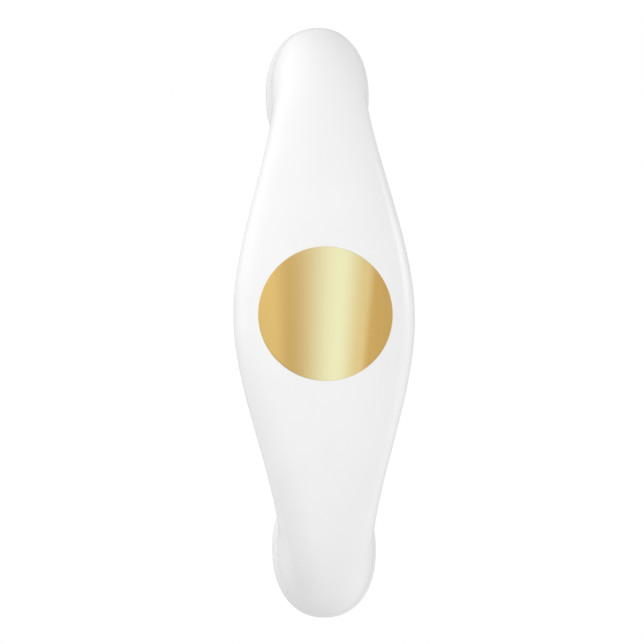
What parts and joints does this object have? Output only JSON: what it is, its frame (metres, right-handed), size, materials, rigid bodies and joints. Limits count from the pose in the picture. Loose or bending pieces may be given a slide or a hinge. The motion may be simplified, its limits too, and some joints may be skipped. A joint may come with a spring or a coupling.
{
  "type": "drawer pull",
  "caption": "Arched ceramic drawer pull: a wide tapered bow with a round gilt disc on its crown, flared feet, and machine screws that clamp it through a drawer front.",
  "frame": {"origin": "on the mounting plane (the pads' faces, where the drawer front's face lies), halfway between the screw axes", "axes": "+Z along the pull's length, upwards as it hangs; +Y into the drawer front; -Y out towards the user; +X to the user's right"},
  "size_m": [0.0376, 0.0517, 0.124],
  "materials": {
    "glazed_ceramic": "gloss",
    "gilt_print": "satin",
    "brass": "satin",
    "cement": "matte",
    "pad_rubber": "satin",
    "zinc_steel": "satin"
  },
  "bodies": {
    "handle": {"ceramic_body": "glazed_ceramic", "gold_disc": "gilt_print", "insert_upper": "brass", "insert_lower": "brass", "cement_upper": "cement", "cement_lower": "cement", "foot_pad_upper": "pad_rubber", "foot_pad_lower": "pad_rubber"},
    "upper_washer": {"washer_upper": "zinc_steel"},
    "upper_screw": {"screw_upper": "zinc_steel"},
    "lower_washer": {"washer_lower": "zinc_steel"},
    "lower_screw": {"screw_lower": "zinc_steel"}
  },
  "joints": [
    {"name": "upper_screw_travel", "type": "slide", "parent": "handle", "child": "upper_washer", "axis": [0, 1, 0], "range_m": [-0.004, 0.006]},
    {"name": "upper_screw_turn", "type": "hinge", "parent": "upper_washer", "child": "upper_screw", "pos_m": [0, 0.0206, 0.048], "axis": [0, 1, 0], "range_deg": [-2058, 3087]},
    {"name": "lower_screw_travel", "type": "slide", "parent": "handle", "child": "lower_washer", "axis": [0, 1, 0], "range_m": [-0.004, 0.006]},
    {"name": "lower_screw_turn", "type": "hinge", "parent": "lower_washer", "child": "lower_screw", "pos_m": [0, 0.0206, -0.048], "axis": [0, 1, 0], "range_deg": [-2058, 3087]}
  ],
  "couplings": [
    {"joint": "upper_screw_turn", "follows": "upper_screw_travel", "rad_per_m": 8976},
    {"joint": "lower_screw_turn", "follows": "lower_screw_travel", "rad_per_m": 8976}
  ]
}
